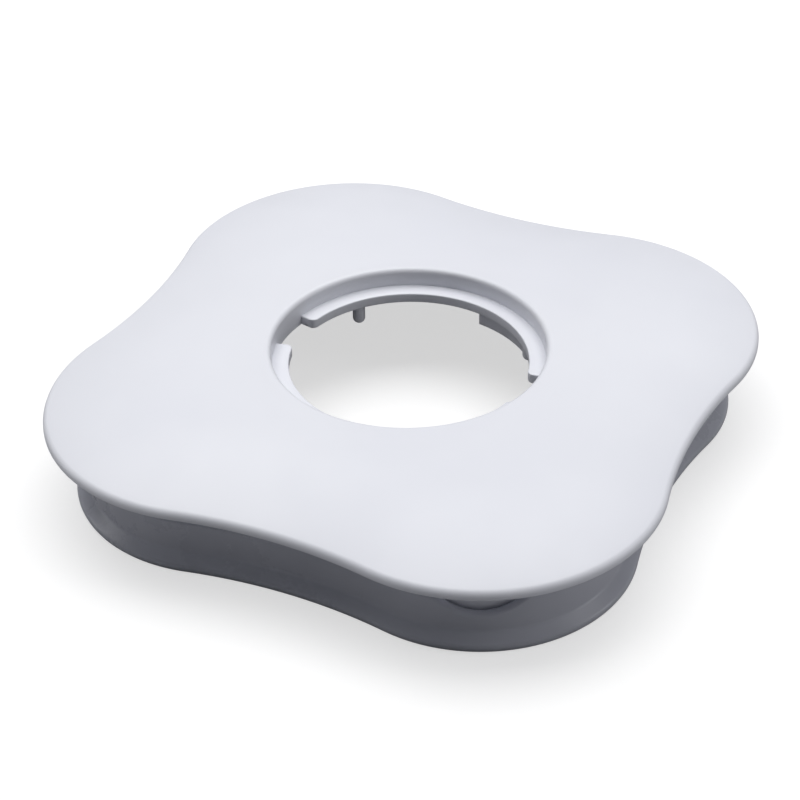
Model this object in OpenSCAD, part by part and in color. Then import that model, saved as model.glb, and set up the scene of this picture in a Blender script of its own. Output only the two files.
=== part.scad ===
// Blender jar lid with four lobes: a stiff moulded lid that takes a twist-in filler cap,
// and the soft ring around its skirt that seals it in the mouth of the jar.
// Millimetres, +Z up. The origin is in the middle of the lid, on the face that the ring rests on.

/* [Outline] */
// Radius of the four lobes, seen from above
lobe_r = 35.4; // [33:0.1:38]
// Distance of a lobe's centre from the middle, along either side
lobe_c = 26.6; // [25.8:0.2:29]

/* [Lid] */
// Height of the flange's lower edge above the resting face
flange_z = 16.8; // [14:0.1:22]
// Height of the crowned top above the flange's lower edge
crown_h = 5.9; // [5:0.1:7.5]
// Radius of the crown, in a section across the flange
crown_r = 80; // [70:1:140]
// Width of the crowned band, from the flange's edge to the level middle
crown_w = 26; // [22:0.1:27]
// Wall thickness of the top
plate_t = 2.2; // [1.6:0.1:2.6]
// Rounding of the flange's upper edge
edge_r = 1.5; // [0.6:0.1:1.5]
// Distance from the flange's edge in to the skirt
skirt_in = 9.4; // [8.8:0.1:11]
// Wall thickness of the skirt
skirt_t = 2; // [1.4:0.1:3]

/* [Filler hole] */
// Radius of the recess that the filler cap's rim sits in
recess_r = 27.2; // [26:0.1:28.4]
// Rounding of the recess's top edge
rim_r = 1.1; // [0.5:0.1:1.3]
// Wall thickness of the collar around the recess
collar_t = 2.1; // [1.6:0.1:3]
// Inner radius of the ledge that the filler cap locks under
ledge_r = 23.8; // [22:0.1:24.6]
// Thickness of the ledge
ledge_t = 2.1; // [1.4:0.1:3]
// Width of each of the two gaps in the ledge, in degrees
gap_a = 22.5; // [12:0.5:30]

/* [Stops under the ledge] */
// Inner radius of the stop ribs
rib_r = 25.2; // [24.8:0.1:25.4]
// Drop of the stop ribs below the ledge
rib_h = 3.6; // [2:0.1:6]
// Angle at which a stop rib starts, in degrees from the middle of a gap
rib_from = 49; // [46:1:56]
// Angle at which a stop rib ends, in degrees from the middle of a gap
rib_to = 80; // [64:1:90]
// Diameter of the stop pegs
peg_d = 2.6; // [1.6:0.1:2.6]
// Drop of the stop pegs below the ledge
peg_h = 4.7; // [3:0.1:8]
// Angle of the first peg, in degrees from the middle of a gap
peg_a1 = 46; // [38:1:48]
// Angle of the second peg, in degrees from the middle of a gap
peg_a2 = 138.5; // [110:0.5:150]

/* [Seal ring] */
// Clearance between the skirt and the ring's wall
ring_clear = 0.1; // [0:0.05:0.3]
// Wall thickness of the ring
ring_t = 1.9; // [1.4:0.1:2.6]
// Height of the ring's top edge above the resting face
ring_h = 10.5; // [8.8:0.1:12.5]
// Thickness of the foot under the skirt
foot_t = 1.5; // [1:0.1:2.2]
// Reach of the sealing lip beyond the ring's wall
lip_reach = 2.4; // [1.6:0.1:3.6]
// Radius of the lip's rounded edge
lip_r = 1.1; // [0.8:0.05:1.3]
// Height at which the lip leaves the ring's wall
lip_h = 3.4; // [2.8:0.1:4.5]
// Depth of the scallop in the ring's top edge
scallop_h = 3.2; // [1:0.1:4.5]
// Width of the scallop at the ring's top edge
scallop_w = 16.4; // [8:0.2:20]
// Direction of the scallop from its lobe's own centre, in degrees
scallop_a = -66; // [-90:1:-10]

/* [Hidden] */
$fn = 96;

// The outline is eight arcs: a lobe's centre lies on a diagonal, a waist's on an axis. The line
// between the two runs 99 along to 20 across, which makes it 101 long, so that both ends and
// both radii come out as whole steps and each arc is tangent to the next.
waist_c = 5.95 * lobe_c;
waist_r = 5.05 * lobe_c - lobe_r;
waist_half = waist_c - waist_r;

top_z = flange_z + crown_h;
crown_c = [crown_w, top_z - crown_r];
skirt_top = crown_c.y + sqrt(pow(crown_r - plate_t / 2, 2) - pow(crown_w - skirt_in, 2));
// How far the crowned band runs on past its level edge, into the plate in the middle
lap = 4;
// Half the side of that plate, whose corners stay in the level part of the lobes
plate_half = min(lobe_c + 0.68 * (lobe_r - crown_w), waist_half - crown_w - 0.3);

wall_in = skirt_in - ring_clear;
wall_out = wall_in - ring_t;
lip_c = [wall_out - lip_reach + lip_r, lip_r];
scallop_r = (pow(scallop_w / 2, 2) + pow(scallop_h, 2)) / (2 * scallop_h);

// Depth by which a rounding passes the face that it blends into, so that the two cross cleanly
bite = 0.003;
// Overlap of two shapes that are moulded as one
weld = 0.5;

// Stands a prism on the points, taller than the lid
module prism(points) {
    translate([0, 0, -1]) linear_extrude(top_z + 2) polygon(points);
}

// Carries a section round the outline. Its x is the distance in from the flange's edge.
module around() {
    for (k = [0:3]) rotate(90 * k) {
        intersection() {
            translate([lobe_c, lobe_c, 0]) rotate_extrude(angle = 120, start = -15)
                translate([lobe_r, 0]) mirror([1, 0]) children();
            prism([[lobe_c, lobe_c], [waist_c, 0], [waist_c, waist_c], [0, waist_c]]);
        }
        intersection() {
            translate([waist_c, 0, 0]) rotate_extrude(angle = 30, start = 165, $fn = 240)
                translate([waist_r, 0]) children();
            prism([[waist_c, 0], [lobe_c, lobe_c], [lobe_c, -lobe_c]]);
        }
    }
}

// Flange, crowned band and the level lap inside it, cut through
module band_section() {
    edge_z = crown_c.y + sqrt(pow(crown_r - edge_r, 2) - pow(crown_w - edge_r, 2));
    edge_end = crown_w - crown_r * (crown_w - edge_r) / (crown_r - edge_r);
    difference() {
        intersection() {
            translate([0, flange_z]) square([crown_w, crown_h]);
            translate(crown_c) circle(crown_r, $fn = 720);
        }
        translate(crown_c) circle(crown_r - plate_t, $fn = 720);
        difference() {
            translate([-1, edge_z + bite]) square([1 + edge_end, edge_r + 1]);
            translate([edge_r - bite, edge_z + bite]) circle(edge_r);
        }
    }
    translate([crown_w, top_z - plate_t]) square([lap, plate_t]);
}

// Collar around the recess, with its rounded top edge, cut through
module collar_section() {
    difference() {
        translate([recess_r, flange_z]) square([collar_t, crown_h]);
        difference() {
            translate([recess_r - 1, top_z - rim_r]) square([1 + rim_r, rim_r + 1]);
            translate([recess_r + rim_r, top_z - rim_r]) circle(rim_r);
        }
    }
}

// Half of the ledge, with the rib and the two pegs that stop the filler cap's lug under it
module half_ledge() {
    rotate_extrude(angle = 180 - gap_a, start = gap_a / 2)
        translate([ledge_r, flange_z]) square([recess_r + weld - ledge_r, ledge_t]);
    rotate_extrude(angle = rib_to - rib_from, start = rib_from)
        translate([rib_r, flange_z - rib_h]) square([recess_r - rib_r, rib_h + weld]);
    for (a = [peg_a1, peg_a2]) rotate(a)
        translate([rib_r + peg_d / 2 - 0.5, 0, flange_z - peg_h + peg_d / 2]) {
            cylinder(d = peg_d, h = peg_h - peg_d / 2 + weld, $fn = 32);
            sphere(d = peg_d, $fn = 32);
        }
}

module lid() {
    color([0.89, 0.89, 0.92]) {
        difference() {
            union() {
                around() band_section();
                around() translate([skirt_in, foot_t]) square([skirt_t, skirt_top - foot_t]);
                translate([-plate_half, -plate_half, top_z - plate_t])
                    cube([2 * plate_half, 2 * plate_half, plate_t]);
            }
            translate([0, 0, -1]) cylinder(r = recess_r + rim_r, h = top_z + 2);
        }
        rotate_extrude() collar_section();
        for (half = [0, 180]) rotate(half) half_ledge();
    }
}

// Wall, foot and sealing lip of the ring, cut through
module ring_section() {
    crest = ring_t / 2;
    flare = lip_c + (lip_r - bite) * [cos(128), sin(128)];
    translate([wall_out, 0]) square([ring_t, ring_h - crest]);
    translate([wall_out + crest, ring_h - crest]) circle(crest, $fn = 48);
    translate([wall_out, 0]) square([skirt_in + skirt_t - wall_out, foot_t]);
    polygon([flare, lip_c, [lip_c.x, 0], [wall_out + weld, 0], [wall_out + weld, lip_h], [wall_out, lip_h]]);
    translate(lip_c) circle(lip_r, $fn = 48);
}

module seal_ring() {
    color([0.78, 0.78, 0.82]) difference() {
        around() ring_section();
        translate([lobe_c, -lobe_c, ring_h - scallop_h + scallop_r]) rotate(scallop_a)
            rotate([0, 90, 0]) cylinder(r = scallop_r, h = lobe_r);
    }
}

lid();
seal_ring();
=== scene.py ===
import bpy
import numpy as np
from mathutils import Matrix, Vector


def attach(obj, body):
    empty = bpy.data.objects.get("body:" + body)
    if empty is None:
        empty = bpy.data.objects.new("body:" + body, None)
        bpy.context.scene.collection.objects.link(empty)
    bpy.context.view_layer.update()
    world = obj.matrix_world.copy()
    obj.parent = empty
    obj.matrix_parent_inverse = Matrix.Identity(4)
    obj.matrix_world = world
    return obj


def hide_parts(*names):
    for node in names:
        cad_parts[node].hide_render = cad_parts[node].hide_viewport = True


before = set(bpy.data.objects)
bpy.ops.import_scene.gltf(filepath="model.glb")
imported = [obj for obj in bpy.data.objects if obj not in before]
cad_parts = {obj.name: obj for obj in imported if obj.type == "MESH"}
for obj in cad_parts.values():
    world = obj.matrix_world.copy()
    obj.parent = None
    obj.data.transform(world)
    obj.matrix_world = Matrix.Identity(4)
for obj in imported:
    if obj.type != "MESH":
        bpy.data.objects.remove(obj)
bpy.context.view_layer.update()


# The lid: one hard moulding of cool off-white plastic, with a satin skin from the mould. Its flange and
# crowned top follow a clover outline, a skirt hangs below, and a collar round the filler opening
# drops through the top. Lengths in this file are in millimetres until a mesh is made.
LOBE_R, LOBE_C = 35.4, 26.6
WAIST_C, WAIST_R = 5.95 * LOBE_C, 5.05 * LOBE_C - LOBE_R
FLANGE_Z, TOP_Z, PLATE = 16.8, 22.7, 2.2
CROWN_R, CROWN_W, EDGE_R = 80.0, 26.0, 1.5
SKIRT_IN, SKIRT, FOOT = 9.4, 2.0, 1.5
RECESS_R, RIM_R, COLLAR_R = 27.2, 1.1, 29.3


def clover(waist_points, lobe_points):
    """Points round the flange's edge and the direction outwards at each. On a waist, at the angle v,
    the point is the waist's centre less WAIST_R (cos v, -sin v), and outwards is (cos v, -sin v). On a
    lobe it is the lobe's centre plus LOBE_R (cos v, sin v). The quarter is then turned by 90 degrees."""
    half = np.arcsin(20 / 101)
    v = np.linspace(-half, half, waist_points, endpoint=False)
    w = np.linspace(-half, np.pi / 2 + half, lobe_points, endpoint=False)
    out = np.r_[np.c_[np.cos(v), -np.sin(v)], np.c_[np.cos(w), np.sin(w)]]
    edge = np.r_[[WAIST_C, 0] - WAIST_R * out[:waist_points], LOBE_C + LOBE_R * out[waist_points:]]
    turns = [np.array([[c, s], [-s, c]]) for c, s in ((1, 0), (0, 1), (-1, 0), (0, -1))]
    return np.vstack([edge @ t for t in turns]), np.vstack([out @ t for t in turns])


def bow(x, z, r, start, end, count):
    """Points on an arc: the centre (x, z) plus r (cos a, sin a), with a in even steps of degrees. The
    third column is 0: the path isn't rounded there."""
    a = np.radians(np.linspace(start, end, count))
    return np.c_[x + r * np.cos(a), z + r * np.sin(a), 0 * a]


def rounded(rows, steps=6, closed=False):
    """A path through the rows (x, z, r), with an arc of radius r at each. The arc starts
    r tan(turn / 2) before the corner, and its centre lies r to the side that the path turns to."""
    rows = np.asarray(rows, float)
    p, r = rows[:, :2], rows[:, 2]
    a = p - np.roll(p, 1, axis=0)
    a /= np.linalg.norm(a, axis=1, keepdims=True)
    b = np.roll(a, -1, axis=0)
    turn = np.arctan2(a[:, 0] * b[:, 1] - a[:, 1] * b[:, 0], (a * b).sum(1))
    if not closed:
        turn[[0, -1]] = 0
    start = p - a * (r * np.tan(abs(turn) / 2))[:, None]
    side = np.c_[-a[:, 1], a[:, 0]] * (np.sign(turn) * r)[:, None]
    first = np.arctan2(-side[:, 1], -side[:, 0])
    angle = first[:, None] + turn[:, None] * np.linspace(0, 1, steps + 1)
    path = (start + side)[:, None] + np.stack([np.cos(angle), np.sin(angle)], 2) * r[:, None, None]
    path = path.reshape(-1, 2)
    gap = np.linalg.norm(path - np.roll(path, 1, axis=0), axis=1)
    keep = gap > 1e-4
    keep[0] |= not closed
    return path[keep]


def carried(path, edge, out):
    """Carries a path round the outline: the point is the edge less x times outwards, at the height z."""
    flat = edge[:, None] - path[None, :, :1] * out[:, None]
    return np.concatenate([flat, np.broadcast_to(path[:, 1:], (*flat.shape[:2], 1))], 2)


def turned(path, angle):
    """Turns a path about the Z axis: the point is x (cos a, sin a), at the height z."""
    way = np.c_[np.cos(angle), np.sin(angle)]
    flat = path[None, :, :1] * way[:, None]
    return np.concatenate([flat, np.broadcast_to(path[:, 1:], (*flat.shape[:2], 1))], 2)


def skin(grid, joined=True):
    """Corner points and faces of a grid of closed rings. The rings are joined first to last, or else
    the first and the last are each filled by one flat face."""
    n, m = grid.shape[:2]
    i = np.arange(n * m).reshape(n, m)
    a, b = (i, np.roll(i, -1, axis=0)) if joined else (i[:-1], i[1:])
    faces = np.stack([a, b, np.roll(b, -1, axis=1), np.roll(a, -1, axis=1)], 2).reshape(-1, 4).tolist()
    if not joined:
        faces += [i[0].tolist(), i[-1, ::-1].tolist()]
    return grid.reshape(-1, 3), faces


def moulding(name, skins, node):
    """One object of one or more closed skins, in metres, smooth but for its sharp edges."""
    count = np.cumsum([0] + [len(points) for points, _ in skins])
    points = np.vstack([points for points, _ in skins]) / 1000
    faces = [[v + c for v in face] for c, (_, part) in zip(count, skins) for face in part]
    mesh = bpy.data.meshes.new(name)
    mesh.from_pydata(points.tolist(), [], faces)
    mesh.validate()
    mesh.polygons.foreach_set("use_smooth", np.ones(len(mesh.polygons), bool))
    mesh.set_sharp_from_angle(angle=np.radians(38))
    piece = bpy.data.objects.new(name, mesh)
    bpy.context.collection.objects.link(piece)
    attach(piece, "root")
    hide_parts(node)
    return piece


def lid_shell():
    """The closed skin of the top, skirt and collar. The crown is the arc CROWN_R, level at CROWN_W in
    from the edge, and the top's underside is the arc PLATE inside it. The level part runs straight from
    the outline there to the circle of the opening."""
    edge, out = clover(40, 80)
    low = TOP_Z - CROWN_R
    edge_z = low + np.sqrt((CROWN_R - EDGE_R) ** 2 - (CROWN_W - EDGE_R) ** 2)
    blend = np.degrees(np.arctan2(edge_z - low, EDGE_R - CROWN_W))
    inner = CROWN_R - PLATE

    def around(x):
        """The direction in degrees from the arcs' centre to the underside's point at x."""
        return np.degrees(np.arccos((x - CROWN_W) / inner))

    def under_z(x):
        """The height of the underside at x."""
        return low + np.sqrt(inner ** 2 - (x - CROWN_W) ** 2)

    outer_path = rounded(np.vstack([
        bow(CROWN_W, low, CROWN_R, 90, blend, 30),
        bow(EDGE_R, edge_z, EDGE_R, blend, 180, 11)[1:],
        [(0, FLANGE_Z, 0.25)],
        [(CROWN_W - np.sqrt(inner ** 2 - (FLANGE_Z - low) ** 2), FLANGE_Z, 0.3)],
        bow(CROWN_W, low, inner, around(3.6), around(SKIRT_IN - 1.2), 5),
        [(SKIRT_IN, under_z(SKIRT_IN), 0.5)],
        [(SKIRT_IN, FOOT, 0.3), (SKIRT_IN + SKIRT, FOOT, 0.3)],
        [(SKIRT_IN + SKIRT, under_z(SKIRT_IN + SKIRT), 0.7)],
        bow(CROWN_W, low, inner, around(SKIRT_IN + SKIRT + 1.6), 90, 10)]))
    hub_path = rounded([
        (COLLAR_R + 0.7, TOP_Z - PLATE, 0), (COLLAR_R, TOP_Z - PLATE, 0.5), (COLLAR_R, FLANGE_Z, 0.3),
        (RECESS_R, FLANGE_Z, 0.25), (RECESS_R, TOP_Z, RIM_R), (RECESS_R + RIM_R + 0.3, TOP_Z, 0)], steps=8)
    flange = carried(outer_path, edge, out)
    angle = np.arctan2(flange[:, 0, 1], flange[:, 0, 0])
    hub = turned(hub_path, angle)
    part = np.linspace(0, 1, 12)[None, 1:-1, None]
    under = flange[:, -1:] * (1 - part) + hub[:, :1] * part
    over = hub[:, -1:] * (1 - part) + flange[:, :1] * part
    return skin(np.concatenate([flange, under, hub, over], 1)[:, ::-1])


lid_skins = [lid_shell()]


# The bayonet of the filler opening: a ledge in two halves that the cap's lugs pass and turn under, and
# under each half a rib and two round pegs that stop the lugs. All are moulded with the lid, and each
# is sunk a little into what carries it.
LEDGE_R, LEDGE, GAP = 23.8, 2.1, 22.5
RIB_R, RIB_DROP, RIB_FROM, RIB_TO = 25.2, 3.6, 49, 80
PEG_D, PEG_DROP, PEG_FIRST, PEG_SECOND = 2.6, 4.7, 46, 138.5
SUNK = 0.5


def bent_bar(low, high, soft, start, end, corner=0.0, count=60):
    """A bar bent round the Z axis from the angle start to end, in degrees, between the corners low and
    high, each (radius, height), with its edges rounded by soft. Each ring of points is the four corner
    arcs, and the rings shrink to soft cos(e) over the last soft sin(e) at both ends. Close to an end,
    the inner side draws back on an arc of radius corner."""
    span = np.radians(end - start) * low[0]
    e = np.radians(np.linspace(80, 0, 6))
    ends = soft - soft * np.sin(e)
    run = soft + (span - 2 * soft) * (1 - np.cos(np.linspace(0, np.pi, count))) / 2
    along = np.r_[ends, run[1:-1], span - ends[::-1]]
    small = np.r_[np.cos(e), np.ones(count - 2), np.cos(e[::-1])] * soft
    back = np.clip(corner - np.minimum(along, span - along), 0, None)
    draw = corner - np.sqrt(np.clip(corner ** 2 - back ** 2, 0, None))
    a = np.radians([[180, 270], [270, 360], [0, 90], [90, 180]])
    a = a[:, :1] + (a[:, 1:] - a[:, :1]) * np.linspace(0, 1, 5)
    x = np.repeat([low[0] + soft, high[0] - soft, high[0] - soft, low[0] + soft], 5)
    inside = np.repeat([1, 0, 0, 1], 5)
    z = np.repeat([low[1] + soft, low[1] + soft, high[1] - soft, high[1] - soft], 5)
    x = x + draw[:, None] * inside + small[:, None] * np.cos(a.ravel())
    z = z + small[:, None] * np.sin(a.ravel())
    angle = np.radians(start) + along / low[0]
    return skin(np.stack([x * np.cos(angle)[:, None], x * np.sin(angle)[:, None], z], 2), joined=False)


def peg(angle):
    """A round peg that hangs from the ledge: its radius stays, then follows a quarter circle to the tip."""
    e = np.radians(np.linspace(86, 0, 9))
    low = FLANGE_Z - PEG_DROP + PEG_D / 2
    r = np.r_[np.cos(e), 1] * PEG_D / 2
    z = np.r_[low - np.sin(e) * PEG_D / 2, FLANGE_Z + SUNK]
    v = np.linspace(0, 2 * np.pi, 32, endpoint=False)
    middle = (RIB_R + PEG_D / 2 - SUNK) * np.array([np.cos(np.radians(angle)), np.sin(np.radians(angle))])
    ring = np.stack([middle[0] + r[:, None] * np.cos(v), middle[1] + r[:, None] * np.sin(v),
                     np.broadcast_to(z[:, None], (len(z), 32))], 2)
    return skin(ring[::-1], joined=False)


for half in (0, 180):
    lid_skins += [
        bent_bar((LEDGE_R, FLANGE_Z), (RECESS_R + SUNK, FLANGE_Z + LEDGE), 0.25,
                 half + GAP / 2, half + 180 - GAP / 2, corner=1.3, count=90),
        bent_bar((RIB_R, FLANGE_Z - RIB_DROP), (RECESS_R, FLANGE_Z + SUNK), 0.2,
                 half + RIB_FROM, half + RIB_TO),
        peg(half + PEG_FIRST), peg(half + PEG_SECOND)]

lid = moulding("lid_moulding", lid_skins, "lid")


class Wire:
    """A socket in a shader tree. Sums and products of wires and numbers add Math nodes, and node() adds
    any other node: first its settings, then the values or wires of its sockets."""

    def __init__(self, tree, socket=None):
        self.tree, self.socket = tree, socket

    def node(self, kind, settings, sockets, output=0):
        made = self.tree.nodes.new(kind)
        for key, value in settings.items():
            setattr(made, key, value)
        for key, value in sockets.items():
            if isinstance(value, Wire):
                self.tree.links.new(value.socket, made.inputs[key])
            else:
                made.inputs[key].default_value = value
        return Wire(self.tree, made.outputs[output])

    def math(self, operation, *values):
        return self.node("ShaderNodeMath", {"operation": operation}, dict(enumerate(values)))

    def __add__(self, other):
        return self.math("ADD", self, other)

    def __mul__(self, other):
        return self.math("MULTIPLY", self, other)

    __radd__, __rmul__ = __add__, __mul__

    def ramp(self, low, high):
        """0 up to low, 1 from high on, and smooth between."""
        return self.node("ShaderNodeMapRange", {"interpolation_type": "SMOOTHSTEP"},
                         {"Value": self, "From Min": low, "From Max": high})

    def noise(self, scale, detail=2.0, rough=0.5, stretch=(1, 1, 1)):
        """Noise from 0 to 1 on these coordinates, at scale per metre, after a stretch of each axis."""
        where = self.node("ShaderNodeMapping", {}, {"Vector": self, "Scale": stretch})
        return self.node("ShaderNodeTexNoise", {},
                         {"Vector": where, "Scale": scale, "Detail": detail, "Roughness": rough}, "Fac")

    def tint(self, first, second):
        """The colour first where this is 0 and second where it is 1."""
        return self.node("ShaderNodeMix", {"data_type": "RGBA"}, {0: self, 6: (*first, 1), 7: (*second, 1)}, 2)

    def bump(self, height, normal=None):
        """Raises the surface by this times height, in metres."""
        sockets = {"Height": self, "Distance": height, "Strength": 1.0}
        if normal is not None:
            sockets["Normal"] = normal
        return self.node("ShaderNodeBump", {}, sockets)

    def into(self, shader, name):
        self.tree.links.new(self.socket, shader.inputs[name])


def moulded_skin(name, deep, pale, gloss, grain, grain_height, spec):
    """A moulded plastic. Its colour drifts from deep to pale in soft clouds, as pigment does. Its grain
    is the mould's own, and its roughness lies between the two values of gloss, lower where it was
    handled and higher in faint scuffs."""
    material = bpy.data.materials.new(name)
    material.use_nodes = True
    tree = material.node_tree
    shader = tree.nodes["Principled BSDF"]
    shader.inputs["IOR"].default_value = spec
    place = Wire(tree).node("ShaderNodeTexCoord", {}, {}, "Object")
    cloud = place.noise(22.0, 3.0).ramp(0.35, 0.68)
    speck = place.noise(2600.0, 1.0).ramp(0.76, 0.80)
    fine = place.noise(grain, 4.0, 0.6)
    scuff = place.noise(90.0, 5.0, 0.75, (1.0, 9.0, 3.0)).ramp(0.60, 0.74)
    handled = place.noise(48.0, 4.0, 0.6).ramp(0.40, 0.66)
    (cloud * 0.9 + speck * 0.35).tint(pale, deep).into(shader, "Base Color")
    (gloss[0] + handled * (gloss[1] - gloss[0]) + scuff * 0.06 + fine * 0.05).into(shader, "Roughness")
    waves = place.noise(70.0, 2.0).bump(0.00002)
    fine.bump(grain_height, waves).into(shader, "Normal")
    return material


lid.data.materials.append(moulded_skin(
    "satin_lid_plastic", (0.735, 0.745, 0.800), (0.765, 0.775, 0.825), (0.36, 0.44), 2400.0, 0.000008, 1.46))


# The seal ring: one soft moulding with a smooth, slightly glossy skin, stretched over the skirt. Its
# foot closes the skirt's lower edge, its lip flares out to seal in the mouth of the jar, and its top
# edge dips in a scallop at the front lobe, for a finger to pull the ring off.
RING_IN, RING, RING_H = 7.4, 1.9, 10.5
LIP_REACH, LIP_R, LIP_H = 2.4, 1.1, 3.4
DIP, DIP_W, DIP_A = 3.2, 16.4, np.radians(-66)


def ring_skin():
    """The closed skin of the ring. Its section is carried round the outline. At a distance u from the
    scallop's middle, the top edge is lowered to a circle through both ends of the scallop."""
    edge, out = clover(50, 150)
    lip = RING_IN - LIP_REACH
    flare = np.array([lip + LIP_R * (1 + np.cos(np.radians(128))), LIP_R * (1 + np.sin(np.radians(128)))])
    slope = (LIP_H - flare[1]) / (RING_IN - flare[0])
    path = rounded([
        (SKIRT_IN + SKIRT, 0, 0.3), (SKIRT_IN + SKIRT, FOOT, 0.2), (RING_IN + RING, FOOT, 0.1),
        (RING_IN + RING, RING_H, RING / 2 - 0.01), (RING_IN, RING_H, RING / 2 - 0.01),
        (RING_IN, LIP_H, 0.8), (lip, flare[1] - slope * (flare[0] - lip), LIP_R), (lip, 0, LIP_R)],
        steps=8, closed=True)
    grid = carried(path, edge, out)
    way = np.array([np.cos(DIP_A), np.sin(DIP_A)])
    arm = (edge - (RING_IN + RING / 2) * out) - [LOBE_C, -LOBE_C]
    u = arm[:, 0] * way[1] - arm[:, 1] * way[0]
    radius = (DIP_W ** 2 / 4 + DIP ** 2) / (2 * DIP)
    depth = np.sqrt(np.clip(radius ** 2 - u ** 2, 0, None)) - (radius - DIP)
    depth = np.where(arm @ way > 0, depth, -radius)
    depth = (depth + np.sqrt(depth ** 2 + 0.05)) / 2 * (depth > -2)
    grid[..., 2] -= depth[:, None] * (path[:, 1] > RING_H - RING)
    return skin(grid)


ring = moulding("seal_ring_moulding", [ring_skin()], "seal_ring")
# The ring's colour is set darker and greyer than the lid's plastic: this is painted shade, standing for the
# shadow it sits in under the flange's overhang.
ring.data.materials.append(moulded_skin(
    "soft_seal_painted_shade", (0.53, 0.54, 0.60), (0.57, 0.58, 0.64), (0.24, 0.32), 1500.0, 0.000004, 1.45))


# The setting: a pale floor and a white background, as in a shop's picture, under one large soft light
# overhead and behind, with a pale strip on each side. The floor shows its own white to the camera.
def paper():
    """Diffuse paper that adds its own light for camera rays, so that it shows white there and still takes
    a shadow."""
    material = bpy.data.materials.new("white_paper")
    material.use_nodes = True
    tree = material.node_tree
    shader = tree.nodes["Principled BSDF"]
    shader.inputs["Base Color"].default_value = (0.30, 0.30, 0.31, 1)
    shader.inputs["Roughness"].default_value = 0.9
    start = Wire(tree)
    camera = start.node("ShaderNodeLightPath", {}, {}, "Is Camera Ray")
    white = start.node("ShaderNodeBsdfDiffuse", {}, {"Color": (0.45, 0.45, 0.45, 1)})
    glow = start.node("ShaderNodeEmission", {}, {"Color": (1, 1, 1, 1), "Strength": 0.62})
    both = start.node("ShaderNodeAddShader", {}, {0: white, 1: glow})
    plain = Wire(tree, shader.outputs[0])
    start.node("ShaderNodeMixShader", {}, {0: camera, 1: plain, 2: both}).into(
        tree.nodes["Material Output"], "Surface")
    return material


FLOOR_Z, FLOOR_HALF = -0.0002, 6
corners = [(x * FLOOR_HALF, y * FLOOR_HALF, FLOOR_Z) for x, y in ((-1, -1), (1, -1), (1, 1), (-1, 1))]
floor_mesh = bpy.data.meshes.new("floor")
floor_mesh.from_pydata(corners, [], [(0, 1, 2, 3)])
floor_mesh.materials.append(paper())
floor = bpy.data.objects.new("floor", floor_mesh)
bpy.context.collection.objects.link(floor)

world = bpy.data.worlds.new("studio")
bpy.context.scene.world = world
world.use_nodes = True
air = Wire(world.node_tree)
seen = air.node("ShaderNodeLightPath", {}, {}, "Is Camera Ray")
dim = air.node("ShaderNodeBackground", {}, {"Color": (0.9, 0.93, 1.0, 1), "Strength": 0.10})
bright = air.node("ShaderNodeBackground", {}, {"Color": (1, 1, 1, 1), "Strength": 1.0})
air.node("ShaderNodeMixShader", {}, {0: seen, 1: dim, 2: bright}).into(
    world.node_tree.nodes["World Output"], "Surface")


def soft_light(name, place, aim, size, power):
    """A rectangular soft light at place, in metres, that faces aim."""
    lamp = bpy.data.lights.new(name, "AREA")
    lamp.shape, lamp.size, lamp.size_y = "RECTANGLE", *size
    lamp.energy = power
    holder = bpy.data.objects.new(name, lamp)
    holder.location = place
    holder.rotation_euler = (Vector(aim) - Vector(place)).to_track_quat("-Z", "Y").to_euler()
    bpy.context.collection.objects.link(holder)


middle = (0, 0, 0.015)
soft_light("overhead_light", (-0.15, 0.25, 1.0), middle, (1.3, 1.0), 13.5)
soft_light("left_strip", (-0.9, -0.25, 0.35), middle, (0.25, 0.7), 1.0)
soft_light("right_strip", (0.8, 0.2, 0.35), middle, (0.3, 0.8), 1.6)

# The camera: a long lens above the front lobe, at the photograph's own angle, turn and framing. The
# picture's width, the focal length and the optical centre are in pixels, the distance is in metres.
PICTURE, FOCAL, CENTRE = 800, 2253.0, (408.99, 368.11)
DISTANCE = 0.4474
turn, lift, roll = np.radians([25.39, 34.92, -0.993])
back = np.array([np.sin(turn) * np.cos(lift), -np.cos(turn) * np.cos(lift), np.sin(lift)])
right = np.array([np.cos(turn), np.sin(turn), 0])
up = np.cross(back, right)
right, up = np.cos(roll) * right + np.sin(roll) * up, np.cos(roll) * up - np.sin(roll) * right
lens = bpy.data.cameras.new("camera")
lens.sensor_width, lens.lens = 36.0, 36.0 * FOCAL / PICTURE
lens.shift_x, lens.shift_y = 0.5 - CENTRE[0] / PICTURE, CENTRE[1] / PICTURE - 0.5
camera = bpy.data.objects.new("camera", lens)
place = np.array([0, 0, FLANGE_Z / 1000]) + back * DISTANCE
camera.matrix_world = Matrix([[*row, p] for row, p in zip(np.c_[right, up, back].tolist(), place.tolist())]
                             + [[0, 0, 0, 1]])
lens.clip_start, lens.clip_end = 0.01, 50.0
bpy.context.collection.objects.link(camera)
scene = bpy.context.scene
scene.camera = camera
scene.view_settings.view_transform = "Standard"
